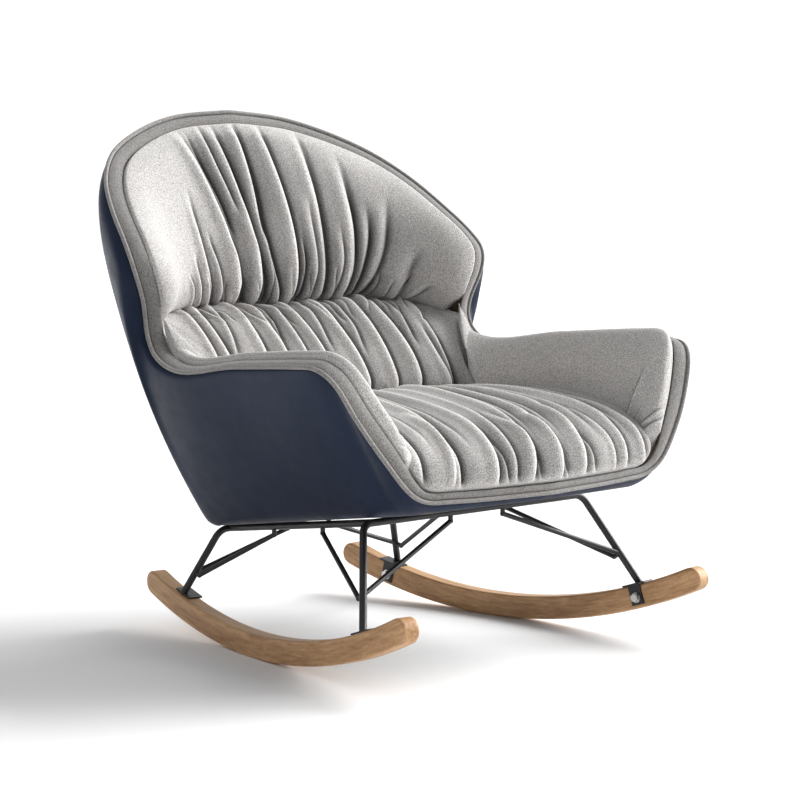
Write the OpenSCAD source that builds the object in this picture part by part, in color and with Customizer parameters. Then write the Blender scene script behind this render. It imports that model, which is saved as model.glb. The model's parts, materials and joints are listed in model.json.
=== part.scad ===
// Upholstered bucket rocking chair on a bent-rod base with two wooden runners.
// The chair faces -Y, +X is the sitter's left, Z = 0 is the floor under the runners.

/* [Seat shell] */
// Height of the seat plane's underside above the floor, at Y = 0
seat_plane_z = 214.5; // [211:0.5:220]
// Backward slope of the seat plane, in degrees
seat_tilt = 8.4; // [7.5:0.1:9]
// Thickness of the leatherette skin and its foam
skin = 3; // [2:0.5:3]
// Thickness of the moulded shell panels
shell_wall = 8; // [6:0.5:8]
// Thickness of the seat board
board_t = 15; // [12:1:16]
// Radius of the piping round the rim
piping_r = 3; // [2:0.5:3.5]

/* [Padding] */
// How far the back cushion swells forward
back_swell = 38; // [20:1:45]
// How far the lumbar cushion swells forward
lumbar_swell = 30; // [15:1:35]
// How far the arm pads swell inward
arm_swell = 14; // [5:1:20]
// Thickness of the foam in the back, lumbar and arm pads, where the shell leaves room for it
pad_t = 62; // [50:1:80]
// How far the arm pads' crowns stand above the border
arm_rise = 8; // [4:1:12]
// Height of the seat cushion's crown above the floor
seat_crown_z = 418; // [414:1:424]

/* [Base] */
// Radius of the leg hoops' and rails' rod
rod_r = 6; // [5:0.5:7]
// Radius of the thin braces
brace_r = 4; // [3:0.5:4.5]
// Inside bend radius of a hoop's corner, to the rod's centre
bend_r = 24; // [20:1:28]
// How far up a leg the braces start
brace_start = 0.33; // [0.28:0.01:0.36]

/* [Runners] */
// Radius of a runner's lower edge
runner_radius = 1050; // [1040:5:1060]
// Height of a runner's section
runner_h = 40; // [38:1:42]
// Thickness of a runner
runner_t = 29; // [27:1:31]
// Angle by which each runner turns out towards the front
toe_out = 7.4; // [7:0.1:7.8]
// Arc from the lowest point to the front end, in degrees
front_arc = 24.4; // [23:0.1:26]
// Arc from the lowest point to the rear end, in degrees
rear_arc = 18.5; // [18:0.1:20]

/* [Hidden] */

navy = "midnightblue";
light_grey = "darkgray";
mid_grey = "gray";
black = "#1c1c1e";
ash = "burlywood";
zinc = "silver";
plywood = "tan";
LEFT = 1;
RIGHT = -1;

// ---- The rim and the seat outline, from the back's centre round to the front's centre ----
// Each row: rim point x y z, foot of the wall x y, bulge of the wall, border direction x y z.
WALL = [
  [  0,  420, 887,     0,  215,  36,    0, -14, -22],
  [130,  418, 874,    70,  215,  38,   -6, -15, -21],
  [217,  396, 848,   122,  215,  42,  -13, -15, -19],
  [293,  361, 811,   165,  214,  45,  -19, -16, -15],
  [342,  310, 765,   196,  207,  45,  -24, -17, -10],
  [369,  252, 716,   214,  196,  45,  -27, -15,  -5],
  [387,  190, 663,   222,  189,  45,  -28, -13,   0],
  [392,  168, 638,   227,  183,  45,  -29, -11,   2],
  [384,  162, 605,   230,  178,  44,  -29, -10,   2],
  [368,  168, 568,   233.5, 170.5, 40, -28, -11,  3],
  [359,  176, 525,   237,  158,  30,  -27, -11,   5],
  [360,  156, 487,   238,  135,  24,  -28,  -6,   8],
  [366,  120, 472,   239,  105,  20,  -29,   0,   9],
  [383,  -90, 483,   242, -100,  14,  -29,   2,  10],
  [400, -272, 495,   247, -260,  10,  -28,   5,  11],
  [403, -309, 496,   248, -293,   8,  -27,   5,  11],
  [395, -326, 485,   248, -305,   6,  -29,   6,  11],
  [361, -352, 418,   247, -323,   5,  -29,   4,  13],
  [315, -368, 351,   245, -342,   4,  -24,   1,  16],
  [272, -373, 303,   237, -358,   3,  -12,  -1,  16],
  [248, -371, 290,   224, -367,   3,   -4,  -2,  15],
  [200, -376, 287,   190, -371,   3,    0,  -2,  15],
  [  0, -395, 284,     0, -387,   3,    0,  -2,  15]];
// Crease between the seat cushion and what stands round it, at the same stations
CREASE = [
  [0, 65, 398], [60, 65, 398], [110, 66, 396], [155, 68, 393], [190, 68, 390], [215, 66, 390],
  [235, 60, 390], [242, 56, 390], [250, 50, 390], [258, 40, 391], [265, 30, 392],
  [270, 18, 394], [276, 0, 397], [300, -120, 411], [294, -235, 405], [291, -258, 402],
  [289, -276, 396], [283, -310, 380], [274, -346, 350], [259, -375, 321], [244, -378, 307],
  [200, -383, 304], [0, -402, 301]];
// Pinched seam between the back cushion and the lumbar cushion, at the first stations
PINCH = [
  [0, 260, 548], [90, 258, 551], [165, 252, 553], [225, 242, 550], [262, 232, 545],
  [288, 222, 540], [306, 212, 534], [312, 207, 531], [318, 201, 529], [323, 192, 527],
  [329, 176, 525]];

waist = len(PINCH) - 1;       // the station where the back meets the arms
front_corner = 19;            // the station where an arm meets the front edge
ring_step = 26;               // spacing of the rings along the rim

// ---- Vector and curve helpers ----
function unit(v) = v / norm(v);
function head(row, from) = [row[from], row[from + 1], row[from + 2]];
function chord(i) = norm(head(WALL[i + 1], 0) - head(WALL[i], 0));
function length_to(i) = i == 0 ? 0 : length_to(i - 1) + chord(i - 1);
STATION_S = [for (i = [0 : len(WALL) - 1]) length_to(i)];
rim_half = STATION_S[len(WALL) - 1];
half_steps = round(rim_half / ring_step);

// Slope of a table at station i, by the chord lengths on both sides
function slope(table, i) =
  let (last = len(table) - 1,
       before = STATION_S[i] - STATION_S[max(i - 1, 0)],
       after = STATION_S[min(i + 1, last)] - STATION_S[i],
       left = i == 0 ? [] : (table[i] - table[i - 1]) / before,
       right = i == last ? [] : (table[i + 1] - table[i]) / after)
  i == 0 ? right : i == last ? left : (left * after + right * before) / (before + after);

function span_of(s, last) = min(last - 1, max(0, len([for (c = STATION_S) if (c <= s) 1]) - 1));

// Smooth value of a station table at length s along the rim
function along(table, s) =
  let (i = span_of(s, len(table) - 1),
       width = STATION_S[i + 1] - STATION_S[i],
       t = (s - STATION_S[i]) / width,
       t2 = t * t,
       t3 = t2 * t)
  table[i] * (2 * t3 - 3 * t2 + 1) + slope(table, i) * (width * (t3 - 2 * t2 + t))
  + table[i + 1] * (3 * t2 - 2 * t3) + slope(table, i + 1) * (width * (t3 - t2));

// The same on the whole loop: negative s is the mirrored, right-hand side
function mirrored(p, s) = s < 0 ? [-p[0], p[1], p[2]] : p;
function plane_z(y) = seat_plane_z - tan(seat_tilt) * y;
function rim(s) = mirrored(head(along(WALL, abs(s)), 0), s);
function foot(s) =
  let (row = along(WALL, abs(s)))
  mirrored([row[3], row[4], plane_z(row[4])], s);
function border(s) = mirrored(head(along(WALL, abs(s)), 6), s);
function crease(s) = mirrored(along(CREASE, abs(s)), s);
function pinch(s) = mirrored(along(PINCH, min(abs(s), STATION_S[waist])), s);
function wall_height(s) = rim(s)[2] - foot(s)[2];

// Horizontal direction out of the wall, square to the seat's outline
function outward(s) =
  let (reach = 22,
       a = max(-rim_half, s - reach),
       b = min(rim_half, s + reach),
       run = foot(b) - foot(a))
  abs(s) < 1 ? [0, 1, 0] : abs(s) > rim_half - 1 ? [0, -1, 0] : unit([-run[1], run[0], 0]);

// Direction along the rim and the border's facing direction
function rim_run(s) =
  abs(s) < 1 ? [1, 0, 0]
  : abs(s) > rim_half - 1 ? [-sign(s), 0, 0]
  : unit(rim(s + 4) - rim(s - 4));
function border_face(s) = unit(cross(border(s), rim_run(s)));

// How far the wall turns in under the seat at height h
under_r = 16;
function turned_in(h, r) = h >= r ? 0 : r - sqrt(r * r - (r - h) * (r - h));

// Share of the bulge at height v: it swells slowly from the foot and rolls in sharply at the rim
function belly(v) = 2.38 * pow(v, 0.9) * pow(max(0, 1 - v), 0.45);

// A point of the skin's outer face: v runs from the seat plane to the rim
function skin_point(s, v) =
  let (low = foot(s),
       high = rim(s),
       bulge = along(WALL, abs(s))[5] * belly(v),
       r = min(under_r, 0.6 * wall_height(s)))
  low + (high - low) * v + outward(s) * (bulge - turned_in(v * wall_height(s), r));

// Direction square to the skin's slope up the wall
function skin_normal(s, v) =
  let (dv = 0.02,
       up = unit(skin_point(s, min(1, v + dv)) - skin_point(s, max(0, v - dv))))
  unit(outward(s) - up * (outward(s) * up));

// A point of the wall at a depth behind the skin's outer face
function wall(s, v, depth) = skin_point(s, v) - skin_normal(s, v) * depth;
function v_below_rim(s, gap) = 1 - min(gap / wall_height(s), 0.3);
function v_above_foot(s, gap) = min(gap / wall_height(s), 0.3);

// Lengths along the rim: the whole closed loop, or a stretch of it
LOOP_S = concat([for (k = [0 : half_steps]) k * rim_half / half_steps],
                [for (k = [half_steps - 1 : -1 : 1]) -k * rim_half / half_steps]);
function stretch(a, b) =
  concat([a], [for (s = LOOP_S) if (s > a + 3 && s < b - 3 && s < 0) s],
         [for (s = LOOP_S) if (s > a + 3 && s < b - 3 && s >= 0) s], [b]);

// ---- Solids from rings ----
// Triangles that fill a ring of n points, zigzag between its two flanks
function strip(n) = [for (k = [0 : ceil(n / 2) - 2])
  each k + 1 == n - 2 - k
    ? [[k, k + 1, n - 1 - k]]
    : [[k, k + 1, n - 2 - k], [k, n - 2 - k, n - 1 - k]]];

// Rings of equal length joined side by side. closed joins the last ring to the first.
module ring_solid(rings, closed = false) {
  n = len(rings[0]);
  m = len(rings);
  points = [for (ring = rings) each ring];
  sides = [for (j = [0 : m - (closed ? 1 : 2)], i = [0 : n - 1])
            let (a = j * n, b = ((j + 1) % m) * n, k = (i + 1) % n)
            each [[a + i, b + i, b + k], [a + i, b + k, a + k]]];
  near_cap = closed ? [] : strip(n);
  far_cap = [for (face = near_cap) [for (i = [2, 1, 0]) (m - 1) * n + face[i]]];
  polyhedron(points, concat(sides, near_cap, far_cap));
}

// Rows up the wall crowd towards the rim, where it rolls in
function eased(k, rows) = 1 - pow(1 - k / rows, 1.7);

// A panel between two depths of the wall, over the lengths in list
module wall_panel(list, v_low, v_high, near, far, rows, closed) {
  ring_solid([for (s = list)
    let (a = v_above_foot(s, v_low), b = v_below_rim(s, v_high))
    concat([for (k = [0 : rows]) wall(s, a + (b - a) * eased(k, rows), near)],
           [for (k = [rows : -1 : 0]) wall(s, a + (b - a) * eased(k, rows), far)])], closed);
}

// ---- Shell ----
shell_near = skin + 4;
shell_far = shell_near + shell_wall;
pad_depth = shell_far + 1;
board_lift = 1;
dust_t = 0.8;

module seat_plane() {
  translate([0, 0, seat_plane_z]) rotate([-seat_tilt, 0, 0]) children();
}

// The seat's outline drawn in its plane, drawn in towards the middle by a share
module seat_outline(share) {
  polygon([for (s = LOOP_S)
    let (p = foot(s))
    [p[0] * share, (seat_middle[1] / 2 + (p[1] - seat_middle[1] / 2) * share) / cos(seat_tilt)]]);
}

module seat_board() {
  color(plywood) seat_plane() difference() {
    translate([0, 0, board_lift]) linear_extrude(board_t) seat_outline(0.93);
    for (side = [LEFT, RIGHT], end = [FRONT, REAR])
      board_bolt_at(end, side) cylinder(h = 60, r = tee_barrel_r, center = true, $fn = 40);
  }
}

back_end = STATION_S[waist - 3];      // the back panel stops short of the sharp turn into the arm
arm_start = STATION_S[waist] + 6;
arm_end = STATION_S[front_corner] - 1;
front_start = STATION_S[front_corner];

module back_shell() {
  color(plywood) wall_panel(stretch(-back_end, back_end), 3, 40, shell_near, shell_far, 8, false);
}

module arm_shell(side) {
  color(plywood)
    wall_panel(side > 0 ? stretch(arm_start, arm_end) : stretch(-arm_end, -arm_start),
               3, 34, shell_near, shell_far, 6, false);
}

module front_rail() {
  list = concat([front_start], [for (s = LOOP_S) if (abs(s) > front_start + 3) s], [-front_start]);
  color(plywood) wall_panel(list, 2, 6, shell_near, shell_far, 2, false);
}

// The skin turns in under the seat at its foot and stops under the piping
module outer_cover() {
  foot_rows = 3;
  rows = 8;
  function heights(s) =
    let (r = min(under_r, 0.6 * wall_height(s)) / wall_height(s),
         top = v_below_rim(s, 10))
    concat([for (k = [0 : foot_rows - 1]) r * pow(k / foot_rows, 2)],
           [for (k = [0 : rows]) r + (top - r) * eased(k, rows)]);
  color(navy) ring_solid([for (s = LOOP_S)
    let (v = heights(s),
         lip_run = unit(rim(s) - wall(s, v[len(v) - 1], 0)),
         lip = rim(s) - lip_run * (piping_r + 0.3),
         lip_normal = unit(cross(lip_run, rim_run(s))))
    concat([for (h = v) wall(s, h, 0)],
           [lip, lip - lip_normal * skin],
           [for (k = [len(v) - 1 : -1 : 0]) wall(s, v[k], skin)])], true);
}

// Black cloth under the board, cut out round the base's plates
module dust_cover() {
  color(black) seat_plane() difference() {
    linear_extrude(dust_t) seat_outline(0.9);
    for (side = [LEFT, RIGHT], end = [FRONT, REAR])
      plate_at(end, side) cube([plate_w + 4, plate_l + 4, 20], center = true);
  }
}

// ---- Rim trim ----
module edge_piping() {
  sides = 8;
  color("gainsboro") ring_solid([for (s = LOOP_S)
    let (across = unit(border(s)), face = border_face(s))
    [for (k = [0 : sides - 1])
      let (a = -k * 360 / sides)
      rim(s) + (across * cos(a) + face * sin(a)) * piping_r]], true);
}

border_start = piping_r + 0.4;
border_crown = 3;
border_edge_t = 1.2;
border_inner_t = 5;
module border_band() {
  rows = 4;
  color(mid_grey) ring_solid([for (s = LOOP_S)
    let (width = norm(border(s)), across = unit(border(s)), face = border_face(s),
         low = rim(s) + across * border_start)
    concat([for (k = [0 : rows])
             low + across * ((width - border_start) * k / rows)
             + face * (border_crown * sin(180 * k / rows))],
           [rim(s) + border(s) - face * border_inner_t,
            low - face * border_edge_t])], true);
}

// ---- Cushions ----
seam_gap = 1;
function pad_top(s) = rim(s) + border(s) + unit(border(s)) * seam_gap;
function pad_under(s) = pad_top(s) - border_face(s) * (border_inner_t + 1);
// Points from a to b, swelling inward
function swell(a, b, s, amount, rows) =
  [for (k = [1 : rows - 1])
    let (w = k / rows)
    a + (b - a) * w - outward(s) * (amount * 4 * w * (1 - w))];
// A pad thins towards its ends at lengths a and b along the rim
pad_end_t = 24;
pad_taper = 0.4;
function pad_thickness(s, a, b) = min(pad_t, pad_end_t + pad_taper * min(s - a, b - s));
backing_top = 0.88;           // share of the wall's height, clear of where it rolls in at the rim
// The wall's side of a pad from height za up to height zb. It lies no more than t behind the lines
// from heel to low and from low to top, with a hollow up to the shell where there is more room.
function backing(s, za, zb, rows, heel, low, top, t) =
  let (base = foot(s)[2],
       va = (za - base) / wall_height(s),
       vb = min(backing_top, (zb - base) / wall_height(s)))
  [for (k = [0 : rows])
    let (far = skin_point(s, va + (vb - va) * k / rows) - outward(s) * pad_depth,
         a = far[2] < low[2] ? heel : low,
         b = far[2] < low[2] ? low : top,
         near = a + (b - a) * ((far[2] - a[2]) / (b[2] - a[2])))
    near + outward(s) * min(t, (far - near) * outward(s))];
// Where a pad's foot stands, just above the seat board
board_clear = 3;
function pad_foot(s) =
  let (h = board_lift + board_t + board_clear,
       p = skin_point(s, min(1, h / wall_height(s))) - outward(s) * (pad_depth + 1))
  [p[0], p[1], foot(s)[2] + h];

pinch_gap = 1.5;              // half the gap between the back and lumbar cushions
heel_rise = 4;                // from a pad's foot up to its lowest backing point
back_pad_end = STATION_S[waist] - 70;
module back_cushion() {
  full_height = 150;          // the swell is smaller where the cushion is lower than this
  color(light_grey) ring_solid([for (s = stretch(-back_pad_end, back_pad_end))
    let (top = pad_top(s), low = pinch(s) + [0, 0, pinch_gap],
         height = rim(s)[2] - low[2],
         high = rim(s)[2] - min(42, 0.45 * height),
         t = pad_thickness(s, -back_pad_end, back_pad_end))
    concat(backing(s, low[2] + 1, high, 4, low, low, top, t),
           [pad_under(s), top],
           swell(top, low, s, back_swell * min(1, height / full_height), 6),
           [low])]);
}

lumbar_end = STATION_S[waist] - 14;
module lumbar_cushion() {
  blend = 100;                // its swell runs down to the arm pads' over this length
  color(light_grey) ring_solid([for (s = stretch(-lumbar_end, lumbar_end))
    let (top = pinch(s) - [0, 0, pinch_gap], low = crease(s), heel = pad_foot(s),
         amount = arm_swell + (lumbar_swell - arm_swell) * min(1, (lumbar_end - abs(s)) / blend))
    concat(backing(s, heel[2] + heel_rise, top[2], 4, heel, low, top,
                   pad_thickness(s, -lumbar_end, lumbar_end)),
           [top],
           swell(top, low, s, amount, 5),
           [low])]);
}

arm_pad_rear = STATION_S[waist] - 10;
arm_pad_front = STATION_S[front_corner] - 45;
module arm_pad(side) {
  start = side > 0 ? arm_pad_rear : -arm_pad_front;
  end = side > 0 ? arm_pad_front : -arm_pad_rear;
  blend = 60;                 // its crown rises over this length from each end
  color(light_grey) ring_solid([for (s = stretch(start, end))
    let (top = pad_top(s), low = crease(s), heel = pad_foot(s),
         high = rim(s)[2] - min(36, 0.4 * (rim(s)[2] - heel[2])),
         rise = arm_rise * min(1, min(s - start, end - s) / blend + 0.2),
         shoulder = top - outward(s) * (0.6 * rise) + [0, 0, rise],
         crown = top - outward(s) * (2.2 * rise) + [0, 0, 0.8 * rise])
    concat(backing(s, heel[2] + heel_rise, high, 3, heel, low, top, pad_thickness(s, start, end)),
           [pad_under(s), top, shoulder, crown],
           swell(crown, low, s, arm_swell, 4),
           [low])]);
}

// The seat cushion: a crowned top whose rings shrink to its middle, tucked sides, a flat underside
seat_middle = [0, -140];
module seat_cushion() {
  shares = [1, 0.97, 0.92, 0.84, 0.7, 0.45, 0.15];
  lip = 9;
  function top_ring(share) = [for (s = LOOP_S)
    let (edge = crease(s) - outward(s) * 1,
         rise = sqrt(1 - pow(share, 4)))
    [seat_middle[0] + (edge[0] - seat_middle[0]) * share,
     seat_middle[1] + (edge[1] - seat_middle[1]) * share,
     edge[2] + 1 + (seat_crown_z - edge[2]) * rise]];
  tucked = [for (s = LOOP_S) crease(s) - outward(s) * lip];
  heel = [for (s = LOOP_S) pad_foot(s) - outward(s) * 1];
  color(light_grey)
    ring_solid(concat([for (k = [len(shares) - 1 : -1 : 0]) top_ring(shares[k])], [tucked, heel]));
}

// ---- Base ----
FRONT = 0;
REAR = 1;
contact_y = 10;               // where the runners touch the floor
runner_mid_x = 266.5;         // middle of a runner's thickness there
plate_t = 3;
rod_drop = plate_t - 1 + rod_r - 0.5;  // from the seat plane down to the rods' centres
foot_point = [[307, -302], [243, 237]];
hoop_top = [[242, -228], [193, 199]];

function runner_x(y) = runner_mid_x - (y - contact_y) * tan(toe_out);
// Height of a runner's top face at y
function runner_top(y) =
  let (reach = (y - contact_y) / cos(toe_out))
  runner_radius - sqrt(pow(runner_radius - runner_h, 2) - reach * reach);
bracket_t = 3;
function leg_foot(end, side) =
  let (p = foot_point[end])
  [side * p[0], p[1], runner_top(p[1]) + bracket_t - 0.3];
function hoop_corner(end, side) =
  let (p = hoop_top[end])
  [side * p[0], p[1], plane_z(p[1]) - rod_drop / cos(seat_tilt)];
function leg_point(end, side, share) =
  leg_foot(end, side) * (1 - share) + hoop_corner(end, side) * share;

// A straight rod between two points
module rod(a, b, r) {
  d = b - a;
  translate(a) rotate([0, acos(d[2] / norm(d)), atan2(d[1], d[0])])
    cylinder(h = norm(d), r = r, $fn = 48);
}

// One bent rod: foot, corner, cross bar, corner, foot, all in one sloping plane
module hoop(end) {
  low = leg_foot(end, LEFT);
  high = hoop_corner(end, LEFT);
  rise = norm([high[1] - low[1], high[2] - low[2]]);
  slope_angle = atan2(high[2] - low[2], high[1] - low[1]);
  leg_angle = atan2(rise, low[0] - high[0]);
  tangent = bend_r * tan(leg_angle / 2);
  leg_run = [-cos(leg_angle), sin(leg_angle), 0];
  lap = 1;
  foot_extra = 10;            // trimmed off by the foot bracket's top face
  drawn_r = rod_r - 0.06;     // a bent rod is a hair thinner in its bends
  color(black) translate([0, low[1], low[2]]) rotate([slope_angle, 0, 0]) difference() {
    union() {
      rod([-high[0] + tangent - lap, rise, 0], [high[0] - tangent + lap, rise, 0], rod_r);
      for (side = [0, 1]) mirror([side, 0, 0]) {
        rod([low[0], 0, 0] - leg_run * foot_extra,
            [high[0], rise, 0] - leg_run * (tangent - lap), rod_r);
        translate([high[0] - tangent, rise - bend_r, 0]) rotate([0, 0, 90 - leg_angle])
          rotate_extrude(angle = leg_angle, $fn = 96)
            translate([bend_r, 0]) circle(r = drawn_r, $fn = 48);
      }
    }
    for (side = [0, 1]) mirror([side, 0, 0])
      rotate([-slope_angle, 0, 0]) translate([0, -low[1], -low[2]])
        foot_block(end, LEFT);
  }
}

// The space under the top face of a foot bracket, which trims the leg
module foot_block(end, side) {
  in_bracket(end, side) translate([-60, -60, bracket_t - 40]) cube([120, 120, 40]);
}

rail_inset = 20;
weld_gap = 0.25;
function rail_end(end, side) = hoop_corner(end, side) - [side * rail_inset, 0, 0];
module side_rail(side) {
  color(black) difference() {
    rod(rail_end(FRONT, side), rail_end(REAR, side), rod_r);
    for (end = [FRONT, REAR]) cross_bar(end, rod_r + weld_gap);
  }
}
module cross_bar(end, r) {
  rod(hoop_corner(end, RIGHT), hoop_corner(end, LEFT), r);
}

// A thin brace from the leg to a bar, bent up into the bar. A stub bends it square out of the leg.
module brace(end, side, top, bar_a, bar_b, stub) {
  rise = 14;
  elbow_r = brace_r + 0.5;
  start = leg_point(end, side, brace_start);
  leg_run = unit(hoop_corner(end, side) - leg_foot(end, side));
  aim = top - start;
  low = start + unit(aim - leg_run * (aim * leg_run)) * stub;
  high = top - [0, 0, rise];
  color(black) difference() {
    union() {
      rod(low, high, brace_r);
      translate(high) sphere(r = elbow_r, $fn = 40);
      rod(high, top, brace_r);
      if (stub > 0) {
        rod(start, low, brace_r);
        translate(low) sphere(r = elbow_r, $fn = 40);
      }
    }
    rod(leg_foot(end, side), hoop_corner(end, side), rod_r + weld_gap);
    rod(bar_a, bar_b, rod_r + weld_gap);
  }
}

side_brace_reach = 0.33;
side_brace_stub = 14;
cross_brace_reach = 0.38;
module side_brace(end, side) {
  a = rail_end(end, side);
  b = rail_end(1 - end, side);
  brace(end, side, a + (b - a) * side_brace_reach, a, b, side_brace_stub);
}
module cross_brace(end, side) {
  a = hoop_corner(end, side);
  b = hoop_corner(end, -side);
  brace(end, side, a + (b - a) * cross_brace_reach, a, b, 0);
}

// Plates welded on the hoops' cross bars and bolted to the board
plate_w = 28;
plate_l = 48;
plate_x = [180, 130];
plate_shift = [12, -12];
bolt_shift = [20, -20];
bolt_r = 3;
tee_barrel_r = 4;
function hoop_row(end) = hoop_top[end][1] / cos(seat_tilt);
module plate_at(end, side) {
  translate([side * plate_x[end], hoop_row(end) + plate_shift[end], 0]) children();
}
module board_bolt_at(end, side) {
  translate([side * plate_x[end], hoop_row(end) + bolt_shift[end], 0]) children();
}
module board_plate(end, side) {
  color(black) difference() {
    seat_plane() difference() {
      plate_at(end, side) translate([-plate_w / 2, -plate_l / 2, board_lift - plate_t])
        cube([plate_w, plate_l, plate_t]);
      board_bolt_at(end, side) cylinder(h = 60, r = bolt_r + 0.3, center = true, $fn = 40);
    }
    cross_bar(end, rod_r);
  }
}

module hexagon(across_flats, h) {
  cylinder(h = h, d = across_flats / cos(30), $fn = 6);
}

module board_bolts() {
  head_h = 4;
  color(zinc) seat_plane() for (side = [LEFT, RIGHT], end = [FRONT, REAR])
    board_bolt_at(end, side) translate([0, 0, board_lift - plate_t]) union() {
      translate([0, 0, -head_h]) hexagon(10, head_h);
      cylinder(h = plate_t + board_t - 2, r = bolt_r, $fn = 40);
    }
}

module tee_nuts() {
  barrel = 9;
  flange_t = 1.2;
  color(zinc) seat_plane() for (side = [LEFT, RIGHT], end = [FRONT, REAR])
    board_bolt_at(end, side) translate([0, 0, board_lift + board_t]) difference() {
      union() {
        translate([0, 0, -barrel]) cylinder(h = barrel, r = tee_barrel_r, $fn = 40);
        cylinder(h = flange_t, r = 9, $fn = 40);
      }
      cylinder(h = 60, r = bolt_r + 0.1, center = true, $fn = 40);
    }
}

// ---- Foot brackets and their fasteners, in a frame on the runner's top face ----
// Local X points out of the chair, Y along the runner's top, Z out of its top face.
module in_bracket(end, side) {
  y = foot_point[end][1];
  reach = (y - contact_y) / cos(toe_out);
  pitch = asin(reach / (runner_radius - runner_h));
  translate([side * runner_x(y), y, runner_top(y)])
    rotate([0, 0, side * toe_out]) rotate([pitch, 0, 0]) mirror([side < 0 ? 1 : 0, 0, 0]) children();
}
runner_bolt_r = 4;
bolt_drop = 21;
// The bracket bolt's axis, pointing at the middle of the chair
module at_runner_bolt(end, side) {
  in_bracket(end, side) translate([-runner_t / 2, 0, -bolt_drop]) rotate([0, -90, 0]) children();
}
plate_clear = 0.3;
module foot_bracket(end, side) {
  length = 46;
  tab_w = 24;
  tab_h = 34;
  color(black) difference() {
    in_bracket(end, side) translate([0, 0, plate_clear]) union() {
      translate([-runner_t / 2 - bracket_t, -length / 2, 0]) cube([runner_t * 0.86, length, bracket_t]);
      translate([-runner_t / 2 - bracket_t, -tab_w / 2, -tab_h]) cube([bracket_t, tab_w, tab_h + 1]);
    }
    at_runner_bolt(end, side) cylinder(h = 30, r = runner_bolt_r + 0.4, center = true, $fn = 40);
  }
}

insert_r = 6;
insert_l = 20;
washer_t = 1.6;
module runner_washers() {
  color(zinc) for (side = [LEFT, RIGHT], end = [FRONT, REAR])
    at_runner_bolt(end, side) translate([0, 0, bracket_t]) difference() {
      cylinder(h = washer_t, r = 8.5, $fn = 48);
      cylinder(h = 10, r = runner_bolt_r + 0.3, center = true, $fn = 40);
    }
}
module runner_bolts() {
  head_h = 5.5;
  tip = 3 - insert_l;
  color(zinc) for (side = [LEFT, RIGHT], end = [FRONT, REAR])
    at_runner_bolt(end, side) union() {
      translate([0, 0, bracket_t + washer_t]) hexagon(13, head_h);
      translate([0, 0, tip])
        cylinder(h = bracket_t + washer_t - tip, r = runner_bolt_r, $fn = 40);
    }
}
module runner_inserts() {
  color(zinc) for (side = [LEFT, RIGHT], end = [FRONT, REAR])
    at_runner_bolt(end, side) translate([0, 0, -insert_l]) difference() {
      cylinder(h = insert_l, r = insert_r, $fn = 48);
      cylinder(h = 80, r = runner_bolt_r + 0.1, center = true, $fn = 40);
    }
}

// ---- Runners ----
edge_r = 4;
// A runner's section with rounded edges, from its lower edge inward
module runner_section() {
  translate([runner_radius - runner_h, -runner_t / 2]) union() {
    translate([edge_r, 0]) square([runner_h - 2 * edge_r, runner_t]);
    translate([0, edge_r]) square([runner_h, runner_t - 2 * edge_r]);
    for (a = [edge_r, runner_h - edge_r], b = [edge_r, runner_t - edge_r])
      translate([a, b]) circle(r = edge_r, $fn = 40);
  }
}
// Half the section, a hair smaller, turned to make a round end
module runner_end_profile() {
  sanded = 0.2;
  r = runner_h / 2 - sanded;
  t = runner_t - 2 * sanded;
  translate([0, -t / 2]) union() {
    square([r - edge_r, t]);
    translate([0, edge_r]) square([r, t - 2 * edge_r]);
    for (b = [edge_r, t - edge_r]) translate([r - edge_r, b]) circle(r = edge_r, $fn = 40);
  }
}
module runner(side) {
  color(ash) difference() {
    translate([side * runner_mid_x, contact_y, 0]) rotate([0, 0, side * toe_out])
      translate([0, 0, runner_radius]) rotate([0, 90, 0]) union() {
        rotate([0, 0, -front_arc]) rotate_extrude(angle = front_arc + rear_arc, $fn = 360) runner_section();
        for (a = [-front_arc, rear_arc]) rotate([0, 0, a]) translate([runner_radius - runner_h / 2, 0, 0])
          rotate_extrude($fn = 72) runner_end_profile();
      }
    for (end = [FRONT, REAR])
      at_runner_bolt(end, side) translate([0, 0, -insert_l]) cylinder(h = 60, r = insert_r, $fn = 48);
  }
}

seat_board();
back_shell();
arm_shell(LEFT);  // arm_shell_left
arm_shell(RIGHT);  // arm_shell_right
front_rail();
outer_cover();
dust_cover();
edge_piping();
border_band();
back_cushion();
lumbar_cushion();
seat_cushion();
arm_pad(LEFT);  // arm_pad_left
arm_pad(RIGHT);  // arm_pad_right
hoop(FRONT);  // front_leg_hoop
hoop(REAR);  // rear_leg_hoop
side_rail(LEFT);  // side_rail_left
side_rail(RIGHT);  // side_rail_right
side_brace(FRONT, LEFT);  // front_side_brace_left
side_brace(FRONT, RIGHT);  // front_side_brace_right
cross_brace(FRONT, LEFT);  // front_cross_brace_left
cross_brace(FRONT, RIGHT);  // front_cross_brace_right
side_brace(REAR, LEFT);  // rear_side_brace_left
side_brace(REAR, RIGHT);  // rear_side_brace_right
cross_brace(REAR, LEFT);  // rear_cross_brace_left
cross_brace(REAR, RIGHT);  // rear_cross_brace_right
board_plate(FRONT, LEFT);  // front_board_plate_left
board_plate(FRONT, RIGHT);  // front_board_plate_right
board_plate(REAR, LEFT);  // rear_board_plate_left
board_plate(REAR, RIGHT);  // rear_board_plate_right
foot_bracket(FRONT, LEFT);  // front_foot_bracket_left
foot_bracket(FRONT, RIGHT);  // front_foot_bracket_right
foot_bracket(REAR, LEFT);  // rear_foot_bracket_left
foot_bracket(REAR, RIGHT);  // rear_foot_bracket_right
runner(LEFT);  // runner_left
runner(RIGHT);  // runner_right
runner_bolts();
runner_washers();
runner_inserts();
board_bolts();
tee_nuts();
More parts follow.
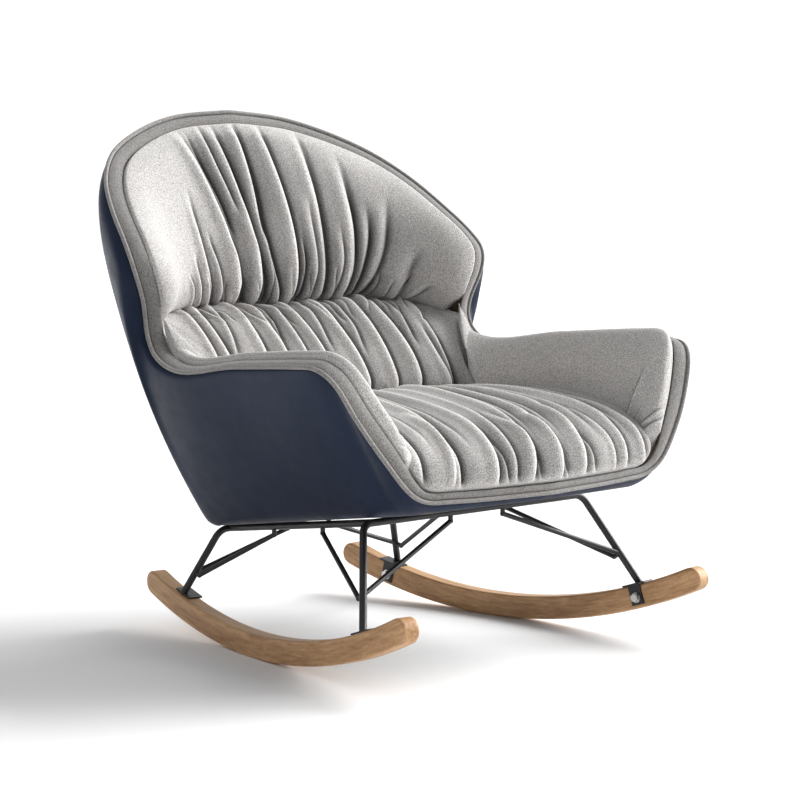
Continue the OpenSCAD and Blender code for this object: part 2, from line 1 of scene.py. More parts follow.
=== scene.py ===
"""Looks of the upholstered rocking chair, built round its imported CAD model.

Everything is in metres in the CAD frame: the chair faces -Y, +X is the sitter's left, Z = 0 is the floor.
"""

import json
import math

import bmesh
import bpy
import numpy as np
from mathutils import Euler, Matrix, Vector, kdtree


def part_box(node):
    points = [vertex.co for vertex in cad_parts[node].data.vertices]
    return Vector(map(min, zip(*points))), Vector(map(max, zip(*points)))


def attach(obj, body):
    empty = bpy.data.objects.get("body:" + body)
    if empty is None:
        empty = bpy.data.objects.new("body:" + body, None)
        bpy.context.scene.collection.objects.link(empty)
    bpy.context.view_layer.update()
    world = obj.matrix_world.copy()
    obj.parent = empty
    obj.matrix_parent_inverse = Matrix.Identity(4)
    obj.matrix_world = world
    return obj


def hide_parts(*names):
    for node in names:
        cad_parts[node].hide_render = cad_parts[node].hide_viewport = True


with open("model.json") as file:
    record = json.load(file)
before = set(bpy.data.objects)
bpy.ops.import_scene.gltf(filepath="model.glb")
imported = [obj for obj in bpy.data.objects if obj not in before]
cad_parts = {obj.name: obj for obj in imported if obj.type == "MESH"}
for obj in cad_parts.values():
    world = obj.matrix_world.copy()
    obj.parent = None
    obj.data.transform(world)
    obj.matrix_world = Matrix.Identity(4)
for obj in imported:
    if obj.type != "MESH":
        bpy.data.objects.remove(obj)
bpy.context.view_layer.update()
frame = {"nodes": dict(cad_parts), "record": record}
NODES = frame["nodes"]
ROOT = "root"               # the chair's one body

# ---- Camera: the photograph's viewing angle ----
CAMERA_PLACE = (-2.569, -2.920, 0.794)
CAMERA_YAW = 42.04          # degrees from +Y towards +X
CAMERA_PITCH = 5.283        # degrees down
SENSOR = 36.0
FOCAL_LENGTH = 104.83
CAMERA_SHIFT = (-0.0145, -0.026)

# ---- Runners ----
ROLL_RADIUS = 1.05          # of the arc that the runners roll on
ROLL_Y = 0.01               # where it touches the floor

# ---- Studio ----
ROOM_LIGHT = 0.14           # of the dim room in front of the chair
WALL_LIGHT = 1.05           # of the white wall behind it


# ---- Small helpers ----
def weld(mesh, reach=2e-5):
    """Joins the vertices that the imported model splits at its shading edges."""
    work = bmesh.new()
    work.from_mesh(mesh)
    bmesh.ops.remove_doubles(work, verts=work.verts, dist=reach)
    bmesh.ops.join_triangles(work, faces=work.faces, angle_face_threshold=math.radians(40),
                             angle_shape_threshold=math.radians(60))
    work.to_mesh(mesh)
    work.free()


def copy_of(node, name):
    """A new object with a welded copy of a CAD node's mesh and no materials."""
    mesh = NODES[node].data.copy()
    mesh.name = name
    mesh.materials.clear()
    weld(mesh)
    piece = bpy.data.objects.new(name, mesh)
    bpy.context.scene.collection.objects.link(piece)
    return piece


def apply_modifiers(piece):
    bpy.context.view_layer.update()
    shaped = piece.evaluated_get(bpy.context.evaluated_depsgraph_get())
    mesh = bpy.data.meshes.new_from_object(shaped)
    piece.modifiers.clear()
    piece.data = mesh


def shade_smooth(piece):
    piece.data.polygons.foreach_set("use_smooth", [True] * len(piece.data.polygons))


def subdivide(piece, levels):
    modifier = piece.modifiers.new("subdivision", "SUBSURF")
    modifier.levels = levels
    modifier.render_levels = levels


def points_of(mesh):
    points = np.empty(len(mesh.vertices) * 3)
    mesh.vertices.foreach_get("co", points)
    return points.reshape(-1, 3)


def normals_of(mesh):
    normals = np.empty(len(mesh.vertices) * 3)
    mesh.vertices.foreach_get("normal", normals)
    return normals.reshape(-1, 3)


def move_points(mesh, points):
    mesh.vertices.foreach_set("co", points.ravel())
    mesh.update()


def relax(mesh, passes, share=0.5):
    """Laplacian smoothing."""
    ends = np.empty(len(mesh.edges) * 2, int)
    mesh.edges.foreach_get("vertices", ends)
    a, b = ends.reshape(-1, 2).T
    here, there = np.concatenate([a, b]), np.concatenate([b, a])
    points = points_of(mesh)
    count = np.bincount(here, minlength=len(points))
    for _ in range(passes):
        step = np.stack([np.bincount(here, points[there, axis], len(points)) / count for axis in range(3)], 1)
        points += (step - points) * share
    move_points(mesh, points)


def ease(x, low, high):
    """0 below low, 1 above high, smooth between."""
    t = np.clip((x - low) / (high - low), 0, 1)
    return t * t * (3 - 2 * t)


# ---- Materials ----
class Nodes:
    """Builds one material's node tree."""

    def __init__(self, name):
        self.material = bpy.data.materials.new(name)
        self.material.use_nodes = True
        self.tree = self.material.node_tree
        self.tree.nodes.clear()
        self.output = self.add("ShaderNodeOutputMaterial")
        self.shader = self.add("ShaderNodeBsdfPrincipled")
        self.tree.links.new(self.shader.outputs["BSDF"], self.output.inputs["Surface"])
        self.coordinates = self.add("ShaderNodeTexCoord").outputs["Object"]

    def add(self, kind, **settings):
        node = self.tree.nodes.new(kind)
        for key, value in settings.items():
            setattr(node, key, value)
        return node

    def link(self, source, target):
        self.tree.links.new(source, target)

    def stretched(self, scale):
        mapping = self.add("ShaderNodeMapping")
        mapping.inputs["Scale"].default_value = scale
        self.link(self.coordinates, mapping.inputs["Vector"])
        return mapping.outputs["Vector"]

    def noise(self, scale, detail=3, roughness=0.55, distortion=0, vector=None):
        node = self.add("ShaderNodeTexNoise")
        node.inputs["Scale"].default_value = scale
        node.inputs["Detail"].default_value = detail
        node.inputs["Roughness"].default_value = roughness
        node.inputs["Distortion"].default_value = distortion
        self.link(vector or self.coordinates, node.inputs["Vector"])
        return node.outputs["Fac"]

    def cells(self, scale):
        node = self.add("ShaderNodeTexVoronoi")
        node.inputs["Scale"].default_value = scale
        self.link(self.coordinates, node.inputs["Vector"])
        return node.outputs["Distance"]

    def ramp(self, value, stops):
        node = self.add("ShaderNodeValToRGB")
        while len(node.color_ramp.elements) < len(stops):
            node.color_ramp.elements.new(0.5)
        for element, (place, colour) in zip(node.color_ramp.elements, stops):
            element.position = place
            element.color = (*colour, 1)
        self.link(value, node.inputs["Fac"])
        return node.outputs["Color"]

    def greys(self, value, stops):
        return self.ramp(value, [(place, (shade,) * 3) for place, shade in stops])

    def grey(self, value, low, high, dark, light):
        return self.greys(value, [(low, dark), (high, light)])

    def multiply(self, a, b):
        node = self.add("ShaderNodeMix", data_type="RGBA", blend_type="MULTIPLY")
        node.inputs["Factor"].default_value = 1.0
        self.link(a, node.inputs["A"])
        self.link(b, node.inputs["B"])
        return node.outputs["Result"]

    def math(self, operation, a, b):
        node = self.add("ShaderNodeMath", operation=operation)
        for socket, value in zip(node.inputs, (a, b)):
            if isinstance(value, (int, float)):
                socket.default_value = value
            else:
                self.link(value, socket)
        return node.outputs["Value"]

    def bump(self, height, strength, distance, under=None):
        node = self.add("ShaderNodeBump")
        node.inputs["Strength"].default_value = strength
        node.inputs["Distance"].default_value = distance
        self.link(height, node.inputs["Height"])
        if under is not None:
            self.link(under, node.inputs["Normal"])
        return node.outputs["Normal"]

    def finish(self, colour, roughness, normal, **sockets):
        for name, value in (("Base Color", colour), ("Roughness", roughness), ("Normal", normal)):
            if value is None:
                continue
            if isinstance(value, (int, float)):
                self.shader.inputs[name].default_value = value
            else:
                self.link(value, self.shader.inputs[name])
        for name, value in sockets.items():
            self.shader.inputs[name.replace("_", " ")].default_value = value
        return self.material


# The crease layer is a mask of fold depth. It paints shade into the cushion cloth's fold valleys and a
# highlight onto its crests.
FLAT_CLOTH = 0.5            # value of the crease layer where the cloth has no fold
FOLD_RANGE = 0.030          # fold depth that the layer spans
GRAIN_STRETCH = 0.035       # wood grain: scale along the grain over scale across it


def brushed_cloth(name, pale, dark, painted_cavity_shade=0.5, paints_fold_shade=False):
    """A short-pile upholstery cloth: flecked yarn, fine weave, with painted shade in its hollows, and on
    request painted shade in its fold valleys and a painted highlight on its fold crests.
    """
    m = Nodes(name)
    yarn = m.noise(620, 2, 0.6)
    fleck = m.cells(480)
    patch = m.noise(9, 4, 0.6)
    base = m.ramp(yarn, [(0.36, dark), (0.60, pale)])
    tone = m.grey(patch, 0.3, 0.7, 0.9, 1.0)
    base = m.multiply(base, tone)
    # Painted shade: the cloth is darkened wherever the mesh curves inwards, in its hollows and creases.
    curvature = m.add("ShaderNodeNewGeometry").outputs["Pointiness"]
    shade = m.grey(curvature, 0.44, 0.51, painted_cavity_shade, 1.0)
    base = m.multiply(base, shade)
    if paints_fold_shade:
        # Painted fold shade and highlight: the crease layer darkens the cloth strongly in fold valleys,
        # leaves flat cloth a little darker, and brings crests up to full brightness.
        fold = m.add("ShaderNodeAttribute", attribute_name="crease").outputs["Fac"]
        painted_fold_shade = m.greys(fold, [(0.08, 0.12), (0.34, 0.50), (FLAT_CLOTH, 0.82), (0.66, 1.0)])
        base = m.multiply(base, painted_fold_shade)
    height = m.math("ADD", m.math("MULTIPLY", yarn, 0.6), m.math("MULTIPLY", fleck, 0.9))
    relief = m.bump(height, 0.55, 0.0009)
    return m.finish(base, 0.92, relief, Sheen_Weight=0.35, Sheen_Roughness=0.45, Specular_IOR_Level=0.25)


def leatherette(name, pale, dark):
    """Smooth coated cloth with a fine pebbled grain."""
    m = Nodes(name)
    patch = m.noise(5, 3, 0.5)
    base = m.ramp(patch, [(0.3, dark), (0.7, pale)])
    grain = m.cells(750)
    pores = m.noise(1400, 2, 0.5)
    height = m.math("ADD", grain, m.math("MULTIPLY", pores, 0.4))
    wave = m.bump(m.noise(11, 2, 0.5), 0.12, 0.004)
    relief = m.bump(height, 0.22, 0.0004, wave)
    rough = m.grey(m.noise(40, 3, 0.6), 0.3, 0.7, 0.4, 0.5)
    return m.finish(base, rough, relief, Specular_IOR_Level=0.16)


def cord_cloth(name, pale, dark):
    """Cloth wound tightly over a cord."""
    m = Nodes(name)
    yarn = m.noise(520, 3, 0.6)
    base = m.ramp(yarn, [(0.32, dark), (0.62, pale)])
    relief = m.bump(m.noise(300, 2, 0.5), 0.5, 0.0012)
    return m.finish(base, 0.85, relief, Sheen_Weight=0.25)


def powder_coat(name):
    m = Nodes(name)
    peel = m.noise(900, 2, 0.5)
    base = m.ramp(m.noise(60, 3, 0.5), [(0.3, (0.008, 0.008, 0.009)), (0.7, (0.016, 0.016, 0.018))])
    rough = m.grey(m.noise(120, 3, 0.6), 0.3, 0.7, 0.36, 0.5)
    return m.finish(base, rough, m.bump(peel, 0.25, 0.0003), Specular_IOR_Level=0.5)


def bent_coordinates(m):
    """Follows the runners' arc: x across, a little of the way along, and the radius."""
    split = m.add("ShaderNodeSeparateXYZ")
    m.link(m.coordinates, split.inputs["Vector"])
    along = m.math("SUBTRACT", split.outputs["Y"], ROLL_Y)
    down = m.math("SUBTRACT", ROLL_RADIUS, split.outputs["Z"])
    square = m.math("ADD", m.math("MULTIPLY", along, along), m.math("MULTIPLY", down, down))
    join = m.add("ShaderNodeCombineXYZ")
    m.link(split.outputs["X"], join.inputs["X"])
    m.link(m.math("MULTIPLY", m.math("ARCTAN2", along, down), GRAIN_STRETCH), join.inputs["Y"])
    m.link(m.math("POWER", square, 0.5), join.inputs["Z"])
    return join.outputs["Vector"]


def pale_wood(name, pale, dark, bent=False):
    """Light hardwood: fine straight grain over a slow figure, with small dark pores."""
    m = Nodes(name)
    along = bent_coordinates(m) if bent else m.stretched((1, GRAIN_STRETCH, 1))
    figure = m.noise(38, 3, 0.5, 0.4, along)
    grain = m.noise(210, 5, 0.65, 0.3, along)
    rings = m.math("ADD", m.math("MULTIPLY", figure, 0.45), m.math("MULTIPLY", grain, 0.55))
    base = m.ramp(rings, [(0.36, dark), (0.48, [(a + b) / 2 for a, b in zip(pale, dark)]), (0.6, pale)])
    pores = m.noise(1300, 2, 0.6, 0, along)
    base = m.multiply(base, m.grey(pores, 0.38, 0.5, 0.8, 1.0))
    relief = m.bump(m.math("ADD", pores, grain), 0.2, 0.0003)
    rough = m.grey(figure, 0.3, 0.7, 0.42, 0.55)
    return m.finish(base, rough, relief, Specular_IOR_Level=0.4)


def zinc(name):
    m = Nodes(name)
    spots = m.cells(700)
    base = m.ramp(spots, [(0.1, (0.5, 0.5, 0.5)), (0.8, (0.72, 0.72, 0.71))])
    rough = m.grey(m.noise(300, 3, 0.6), 0.3, 0.7, 0.2, 0.36)
    return m.finish(base, rough, m.bump(m.noise(600, 2), 0.1, 0.0003), Metallic=1.0)


def felt(name, pale, dark):
    m = Nodes(name)
    fibre = m.noise(800, 4, 0.7)
    base = m.ramp(fibre, [(0.35, dark), (0.65, pale)])
    return m.finish(base, 0.95, m.bump(fibre, 0.4, 0.0006))


MATERIALS = {
    "cushion_fabric": brushed_cloth("cushion_cloth", (0.86, 0.835, 0.815), (0.33, 0.317, 0.307),
                                    paints_fold_shade=True),
    # The border cloth gets painted shade in its hollows, down to 0.6 of its colour.
    "band_fabric": brushed_cloth("band_cloth", (0.30, 0.289, 0.278), (0.11, 0.104, 0.10), 0.6),
    "piping": cord_cloth("piping_cloth", (0.30, 0.288, 0.277), (0.10, 0.094, 0.09)),
    "leatherette": leatherette("navy_leatherette", (0.009, 0.018, 0.044), (0.006, 0.012, 0.030)),
    "black_steel": powder_coat("black_powder_coat"),
    "ash_wood": pale_wood("runner_wood", (0.62, 0.375, 0.19), (0.33, 0.165, 0.068), bent=True),
    "zinc_steel": zinc("bright_zinc"),
    "plywood": pale_wood("shell_plywood", (0.5, 0.38, 0.26), (0.36, 0.26, 0.17)),
    "dust_cloth": felt("dust_cloth", (0.035, 0.035, 0.037), (0.012, 0.012, 0.013)),
}
SLOT_OF = {row["node"]: row["material_slot"] for row in frame["record"]["subparts"]}


def dress_cad_nodes():
    for node, piece in NODES.items():
        for slot in piece.material_slots:
            slot.material = MATERIALS[SLOT_OF[node]]


def place(piece, node):
    """Gives a finished piece its material and puts it on the body in place of its CAD node."""
    shade_smooth(piece)
    piece.data.materials.clear()
    piece.data.materials.append(MATERIALS[SLOT_OF[node]])
    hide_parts(node)
    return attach(piece, ROOT)


# ---- Covers and trim ----
SEAM_GAP = 0.0008           # how far the border shrinks to leave its two seams open
PIPING_FULLNESS = 0.0009    # how far the piping swells back after rounding


def smooth_trim():
    skin = copy_of("outer_cover", "navy_skin")
    subdivide(skin, 2)
    place(skin, "outer_cover")

    piping = copy_of("edge_piping", "rim_piping")
    subdivide(piping, 2)
    apply_modifiers(piping)
    move_points(piping.data, points_of(piping.data) + normals_of(piping.data) * PIPING_FULLNESS)
    place(piping, "edge_piping")

    band = copy_of("border_band", "padded_border")
    subdivide(band, 2)
    apply_modifiers(band)
    sewn_line = points_of(band.data)
    move_points(band.data, sewn_line - normals_of(band.data) * SEAM_GAP)
    place(band, "border_band")
    return sewn_line


# ---- Cushions ----
ROUNDING_LEVELS = 3


def soft_copy(node, name, grid=0.0):
    """A cushion's closed solid, rounded and finely divided. Grid evens out the mesh of a large flat top."""
    piece = copy_of(node, name)
    subdivide(piece, ROUNDING_LEVELS)
    if grid:
        even = piece.modifiers.new("even", "REMESH")
        even.mode = "VOXEL"
        even.voxel_size = grid
    apply_modifiers(piece)
    relax(piece.data, 8 if grid else 4)
    subdivide(piece, 1)
    apply_modifiers(piece)
    relax(piece.data, 2)
    return piece


def nearest_to(points, targets):
    """For each point the closest target and its distance."""
    tree = kdtree.KDTree(len(targets))
    for index, target in enumerate(targets):
        tree.insert(target, index)
    tree.balance()
    found = [tree.find(point) for point in points]
    return np.array([row[0] for row in found]), np.array([row[2] for row in found])


def draw_to_seam(points, targets, distance, gap=0.0026, full=0.008, reach=0.026):
    """Fills the opening that rounding leaves along the border, down to a thin gap."""
    share = (1 - ease(distance, full, reach)) * np.clip(1 - gap / np.maximum(distance, 1e-6), 0, 1)
    return points + (targets - points) * share[:, None]


def edge_roll(distance, reach, amount):
    """Fullness next to a seam: none at the seam, most at reach, then fading."""
    d = distance / reach
    return amount * d * np.exp(1 - d)


def fold_section(d, width):
    """Across a fold: a sharp valley, a thin crest on its low side, a long shallow rise on its high side."""
    valley = -np.exp(-(d / (0.5 * width)) ** 2)
    crest = 0.45 * np.exp(-((d + 1.5 * width) / (0.9 * width)) ** 2)
    lee = np.clip(d, 0, None)
    rise = -0.55 * np.exp(-lee / (2.4 * width)) * (1 - np.exp(-(lee / (0.6 * width)) ** 2))
    return valley + crest + rise


def fold_field(across, along, folds, edge=1.0):
    """Sum of folds. Each: place across at its start and end, start and end along, depth, width, bow.
    One that starts at 0 or ends past the edge runs full depth there; others fade out."""
    height = np.zeros_like(across)
    for number, (start, end, first, last, depth, width, bow) in enumerate(folds):
        t = np.clip((along - first) / (last - first), 0, 1)
        wander = 0.0016 * np.sin(7 * t + 2.4 * number)
        line = start + (end - start) * t + bow * np.sin(math.pi * t) + wander
        fade = np.ones_like(t) if first <= 0 else ease(t, 0, 0.3)
        if last < edge:
            fade = fade * (1 - ease(t, 0.55, 1.0))
        near = np.abs(across - line) < 10 * width
        height[near] += (depth * fade * fold_section(across - line, width))[near]
    return height


def gathers(random, low, high, spacing, reach, depth, lean):
    """Short folds that start at a seam and lean away from the middle, or towards it if lean is negative."""
    rows = []
    place_across = low
    while place_across < high:
        run = reach * random.uniform(0.35, 1.1)
        end = place_across + lean * place_across + random.uniform(-0.006, 0.006)
        rows.append((place_across, end, 0.0, run, depth * random.uniform(0.5, 1.1),
                     random.uniform(0.0034, 0.0054), 0.0))
        place_across += spacing * random.uniform(0.6, 1.4)
    return rows


def close_seam(points, from_seam, direction, amount=0.006, reach=0.03):
    """Brings a rounded lip back to the seam that it is sewn along."""
    points[:, 2] += direction * amount * (1 - ease(from_seam, 0, reach))


def edge_line(across, value, pick, bins=48):
    """The upper or lower edge of a cloud of points, at each point's own place across."""
    marks = np.linspace(across.min(), across.max(), bins + 1)
    index = np.clip(np.digitize(across, marks) - 1, 0, bins - 1)
    edge = np.array([pick(value[index == k]) if (index == k).any() else np.nan for k in range(bins)])
    middle = (marks[1:] + marks[:-1]) / 2
    known = ~np.isnan(edge)
    return np.interp(across, middle[known], edge[known])


def finish_cushion(piece, node, points, folded):
    """Moves the cover to its final shape and stores its fold depth as the crease layer, the mask that paints
    shade into the cloth's fold valleys and a highlight onto its crests.
    """
    move_points(piece.data, points)
    relax(piece.data, 2, 0.4)
    # Fold depth stored as the mask for painted shade in the valleys and a painted highlight on the crests.
    fold_shade_mask = piece.data.attributes.new("crease", "FLOAT", "POINT")
    layer = np.clip(FLAT_CLOTH + folded / FOLD_RANGE, 0, 1)
    fold_shade_mask.data.foreach_set("value", layer.astype(np.float32))
    place(piece, node)


PINCH_HALF = 0.31           # half the length of the pinched seam between back and lumbar cushion
PAST_THE_TOP = 1.4          # an edge that no fold of the back cushion reaches, so that all of them fade

# Long folds of the back cushion. The main rows here and in the next two tables follow places that a scratch
# script worked out from lines picked in the photograph. The other rows were added between them. A row holds x
# at the pinched seam, x at the upper end, start and end as shares of the height, depth, width and bow.
BACK_FOLDS = [
    (-0.192, -0.206, 0.0, 0.34, 0.0070, 0.0065, -0.004),
    (-0.166, -0.174, 0.0, 0.72, 0.0120, 0.0090, -0.008),
    (-0.138, -0.156, 0.0, 0.46, 0.0080, 0.0065, -0.004),
    (-0.104, -0.146, 0.0, 1.16, 0.0190, 0.0115, 0.016),
    (-0.088, -0.112, 0.0, 0.40, 0.0080, 0.0065, 0.000),
    (-0.092, -0.126, 0.30, 1.08, 0.0110, 0.0080, 0.006),
    (-0.054, -0.066, 0.0, 1.20, 0.0185, 0.0110, 0.014),
    (-0.036, -0.050, 0.0, 0.44, 0.0090, 0.0070, 0.000),
    (-0.070, -0.088, 0.45, 1.12, 0.0120, 0.0080, 0.002),
    (-0.004, -0.020, 0.0, 0.60, 0.0130, 0.0090, -0.008),
    (-0.030, 0.000, 0.32, 1.22, 0.0190, 0.0115, 0.004),
    (0.022, 0.042, 0.0, 1.20, 0.0190, 0.0120, 0.018),
    (0.040, 0.060, 0.0, 0.42, 0.0080, 0.0070, 0.002),
    (0.062, 0.096, 0.0, 0.66, 0.0085, 0.0085, 0.004),
    (0.086, 0.128, 0.0, 1.14, 0.0125, 0.0130, 0.012),
    (0.112, 0.150, 0.0, 0.48, 0.0080, 0.0075, 0.004),
    (0.136, 0.192, 0.0, 0.94, 0.0150, 0.0130, 0.016),
    (0.154, 0.216, 0.0, 0.66, 0.0110, 0.0110, 0.010),
    (0.176, 0.262, 0.0, 0.74, 0.0090, 0.0110, 0.010),
    (0.246, 0.286, 0.0, 0.42, 0.0055, 0.0095, 0.000),
]


def back_cushion(border_points):
    piece = soft_copy("back_cushion", "back_cushion_cover")
    points, normals = points_of(piece.data), normals_of(piece.data)
    x, z = points[:, 0], points[:, 2]
    front = np.clip(-normals[:, 1] * 1.6 + 0.2, 0, 1)
    low = edge_line(x, z, np.min)
    high = edge_line(x, z, np.max)
    height = (z - low) / (high - low)
    seam_points, from_border = nearest_to(points, border_points)
    random = np.random.RandomState(4)
    folds = BACK_FOLDS + gathers(random, -0.21, 0.27, 0.019, 0.22, 0.0050, 0.12)
    folded = fold_field(x, height, folds, PAST_THE_TOP) * ease(from_border, 0.006, 0.04) * front
    lift = folded + edge_roll(from_border, 0.036, 0.010) * ease(height, 0.0, 0.2)
    lift += edge_roll(z - low, 0.040, 0.012) * ease(PINCH_HALF - np.abs(x), 0, 0.10)
    moved = draw_to_seam(points, seam_points, from_border) + normals * (lift * front)[:, None]
    close_seam(moved, z - low, -1)
    finish_cushion(piece, "back_cushion", moved, folded)


# The same for the lumbar cushion, from the pinched seam down to the seat.
LUMBAR_FOLDS = [
    (-0.238, -0.252, 0.0, 0.90, 0.0090, 0.0080, 0.004),
    (-0.212, -0.228, 0.0, 1.20, 0.0120, 0.0090, 0.006),
    (-0.170, -0.206, 0.0, 0.60, 0.0070, 0.0070, 0.002),
    (-0.126, -0.170, 0.0, 1.20, 0.0145, 0.0100, 0.008),
    (-0.080, -0.122, 0.0, 1.20, 0.0140, 0.0095, 0.006),
    (-0.060, -0.092, 0.0, 0.50, 0.0070, 0.0065, 0.002),
    (-0.036, -0.075, 0.0, 1.10, 0.0110, 0.0080, 0.006),
    (0.002, -0.042, 0.0, 1.20, 0.0145, 0.0095, 0.006),
    (0.036, 0.004, 0.0, 0.55, 0.0065, 0.0070, 0.004),
    (0.068, 0.030, 0.0, 1.25, 0.0160, 0.0110, 0.008),
    (0.104, 0.072, 0.0, 0.60, 0.0070, 0.0070, 0.004),
    (0.140, 0.095, 0.0, 1.25, 0.0145, 0.0105, 0.006),
    (0.182, 0.148, 0.0, 1.30, 0.0175, 0.0120, 0.012),
    (0.216, 0.200, 0.0, 0.55, 0.0070, 0.0075, 0.004),
    (0.240, 0.222, 0.2, 1.25, 0.0095, 0.0085, 0.004),
    (0.270, 0.230, 0.0, 1.15, 0.0100, 0.0085, 0.002),
]


def lumbar_cushion(border_points):
    piece = soft_copy("lumbar_cushion", "lumbar_cushion_cover")
    points, normals = points_of(piece.data), normals_of(piece.data)
    x, z = points[:, 0], points[:, 2]
    seam = edge_line(x, z, np.max)
    seat_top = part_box("seat_cushion")[1][2]
    depth = (seam - z) / (seam - seat_top + 0.02)
    front = np.clip(-normals[:, 1] * 1.4 + normals[:, 2] * 0.6 + 0.2, 0, 1)
    seam_points, from_border = nearest_to(points, border_points)
    random = np.random.RandomState(9)
    folds = LUMBAR_FOLDS + gathers(random, -0.26, 0.28, 0.022, 0.30, 0.0055, -0.10)
    folded = fold_field(x, depth, folds) * ease(from_border, 0.006, 0.035) * front
    lift = folded + edge_roll(seam - z, 0.024, 0.009) * ease(PINCH_HALF - 0.01 - np.abs(x), 0, 0.08)
    moved = draw_to_seam(points, seam_points, from_border) + normals * (lift * front)[:, None]
    close_seam(moved, seam - z, 1)
    finish_cushion(piece, "lumbar_cushion", moved, folded)


SEAT_FALL = 0.014           # how far the seat's front half sinks below the CAD crown
SEAT_TUCKED = 0.15          # length of the seat that lies behind the lumbar cushion
SEAT_TRAVEL = 0.56          # from there over the front roll down to the border

# The seat cushion's folds. x at the rear, x at the front, start and end in metres of travel. The last six are
# short ones on the front roll.
SEAT_FOLDS = [
    (-0.134, -0.250, 0.0, 0.56, 0.0110, 0.0095, -0.022),
    (-0.100, -0.215, 0.0, 0.50, 0.0060, 0.0070, -0.020),
    (-0.058, -0.178, 0.0, 0.56, 0.0140, 0.0100, -0.018),
    (-0.030, -0.142, 0.0, 0.50, 0.0070, 0.0075, -0.016),
    (-0.002, -0.105, 0.0, 0.56, 0.0140, 0.0100, -0.012),
    (0.045, -0.070, 0.0, 0.56, 0.0080, 0.0080, -0.006),
    (0.094, -0.036, 0.0, 0.56, 0.0145, 0.0105, 0.000),
    (0.112, -0.006, 0.0, 0.50, 0.0060, 0.0070, 0.002),
    (0.130, 0.023, 0.0, 0.56, 0.0140, 0.0095, 0.004),
    (0.150, 0.052, 0.0, 0.50, 0.0070, 0.0075, 0.006),
    (0.174, 0.082, 0.0, 0.56, 0.0135, 0.0100, 0.008),
    (0.198, 0.132, 0.0, 0.50, 0.0075, 0.0080, 0.008),
    (0.222, 0.189, 0.0, 0.56, 0.0110, 0.0095, 0.008),
    (0.240, 0.212, 0.0, 0.50, 0.0060, 0.0070, 0.006),
    (0.258, 0.236, 0.0, 0.56, 0.0085, 0.0085, 0.004),
    (-0.150, -0.196, 0.26, 0.56, 0.0060, 0.0065, 0.0),
    (-0.070, -0.088, 0.30, 0.56, 0.0065, 0.0065, 0.0),
    (-0.006, -0.020, 0.30, 0.56, 0.0060, 0.0065, 0.0),
    (0.052, 0.040, 0.32, 0.56, 0.0060, 0.0065, 0.0),
    (0.120, 0.106, 0.28, 0.56, 0.0065, 0.0070, 0.0),
    (0.176, 0.160, 0.26, 0.56, 0.0060, 0.0070, 0.0),
]


def seat_cushion(border_points):
    piece = soft_copy("seat_cushion", "seat_cushion_cover", grid=0.005)
    points = points_of(piece.data)
    (_, _, _), (_, rear, top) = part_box("seat_cushion")
    fall = ease(-points[:, 1], 0.02, 0.34) * ease(points[:, 2], top - 0.10, top - 0.02)
    points[:, 2] -= SEAT_FALL * fall
    move_points(piece.data, points)
    normals = normals_of(piece.data)
    x, y, z = points.T
    travel = np.clip(rear - SEAT_TUCKED - y, 0, None) + np.clip(top - SEAT_FALL - z, 0, None)
    upper = np.clip(normals[:, 2] * 1.2 - normals[:, 1] * 1.3 + 0.15, 0, 1)
    _, from_border = nearest_to(points, border_points)
    folded = fold_field(x, travel, SEAT_FOLDS, SEAT_TRAVEL) * ease(from_border, 0.002, 0.02) * upper
    lift = folded + edge_roll(from_border, 0.025, 0.006) * upper
    finish_cushion(piece, "seat_cushion", points + normals * lift[:, None], folded)


def arm_pads(border_points):
    for side in ("left", "right"):
        node = f"arm_pad_{side}"
        piece = soft_copy(node, f"{node}_cover")
        points, normals = points_of(piece.data), normals_of(piece.data)
        sign = 1 if side == "left" else -1
        inner = np.clip(-normals[:, 0] * sign * 1.2 + normals[:, 2] * 0.8, 0, 1)
        y, z = points[:, 1], points[:, 2]
        _, from_border = nearest_to(points, border_points)
        random = np.random.RandomState(20 + sign)
        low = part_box("seat_cushion")[1][2] - 0.06
        height = (z - low) / (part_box(node)[1][2] - low)
        wrinkles = gathers(random, -0.35, -0.27, 0.022, 0.60, 0.0040, 0.10)
        folded = fold_field(y, height, wrinkles) * inner
        lift = folded + edge_roll(from_border, 0.022, 0.005) * inner
        finish_cushion(piece, node, points + normals * lift[:, None], folded)


# ---- Stage ----
FLOOR_HALF = 14


def camera():
    data = bpy.data.cameras.new("camera")
    data.sensor_width = SENSOR
    data.lens = FOCAL_LENGTH
    data.shift_x, data.shift_y = CAMERA_SHIFT
    data.clip_end = 60
    place_of_camera = bpy.data.objects.new("camera", data)
    place_of_camera.location = CAMERA_PLACE
    turn = Euler((math.radians(90 - CAMERA_PITCH), 0, -math.radians(CAMERA_YAW)))
    place_of_camera.rotation_euler = turn
    bpy.context.scene.collection.objects.link(place_of_camera)
    bpy.context.scene.camera = place_of_camera


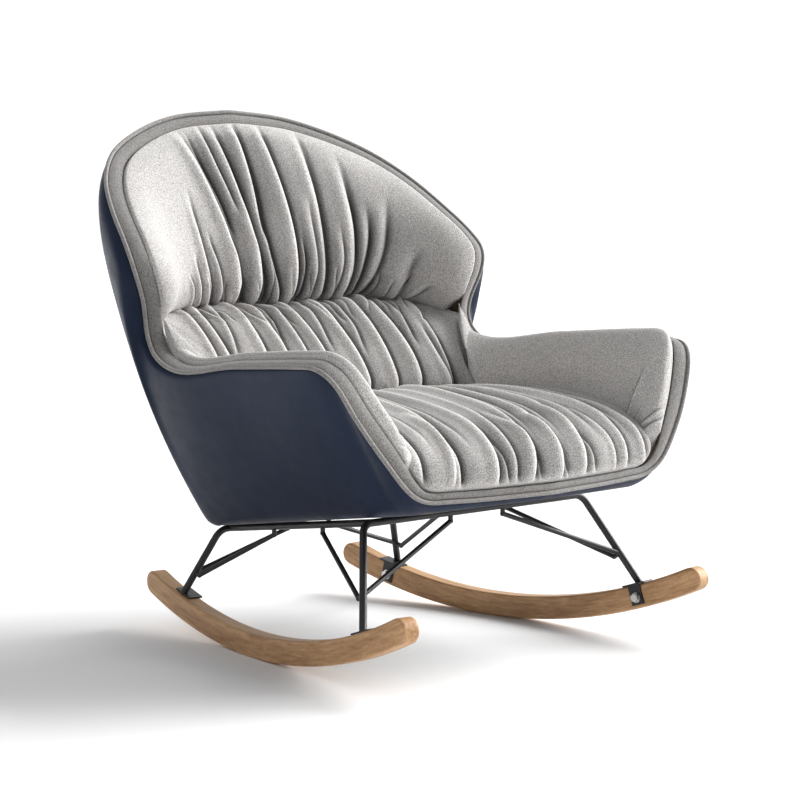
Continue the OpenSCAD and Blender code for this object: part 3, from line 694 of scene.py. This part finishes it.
def sun(name, azimuth, elevation, strength, spread):
    """A broad, even light. Azimuth runs from -Y, the front, towards +X; all angles in degrees."""
    data = bpy.data.lights.new(name, "SUN")
    data.energy = strength
    data.angle = math.radians(spread)
    lamp = bpy.data.objects.new(name, data)
    lamp.rotation_euler = Euler((math.radians(90 - elevation), 0, math.radians(azimuth)))
    bpy.context.scene.collection.objects.link(lamp)


def studio_world():
    """A white wall behind the chair, as the camera stands, and a dim room in front of it."""
    world = bpy.data.worlds.new("studio")
    world.use_nodes = True
    tree = world.node_tree
    direction = tree.nodes.new("ShaderNodeTexCoord").outputs["Generated"]
    facing = tree.nodes.new("ShaderNodeVectorMath")
    facing.operation = "DOT_PRODUCT"
    yaw = math.radians(CAMERA_YAW)
    facing.inputs[1].default_value = (math.sin(yaw), math.cos(yaw), 0)
    tree.links.new(direction, facing.inputs[0])
    spread = tree.nodes.new("ShaderNodeMapRange")
    for name, value in (("From Min", 0.3), ("From Max", 0.9), ("To Min", ROOM_LIGHT), ("To Max", WALL_LIGHT)):
        spread.inputs[name].default_value = value
    tree.links.new(facing.outputs["Value"], spread.inputs["Value"])
    tree.links.new(spread.outputs["Result"], tree.nodes["Background"].inputs["Strength"])
    tree.nodes["Background"].inputs["Color"].default_value = (1, 1, 1, 1)
    return world


def stage():
    scene = bpy.context.scene
    scene.view_settings.view_transform = "Standard"
    scene.world = studio_world()

    floor_mesh = bpy.data.meshes.new("floor")
    work = bmesh.new()
    bmesh.ops.create_grid(work, x_segments=4, y_segments=4, size=FLOOR_HALF)
    work.to_mesh(floor_mesh)
    work.free()
    floor = bpy.data.objects.new("floor", floor_mesh)
    scene.collection.objects.link(floor)
    paint = Nodes("floor_paint")
    shade = paint.ramp(paint.noise(3, 2), [(0.3, (0.93, 0.93, 0.93)), (0.7, (0.95, 0.95, 0.95))])
    floor_mesh.materials.append(paint.finish(shade, 0.9, None))

    sun("key", 72, 28, 6.2, 50)
    sun("top", 20, 80, 0.55, 80)
    sun("fill", -95, 25, 0.6, 70)


camera()
stage()
dress_cad_nodes()
border = smooth_trim()
back_cushion(border)
lumbar_cushion(border)
seat_cushion(border)
arm_pads(border)
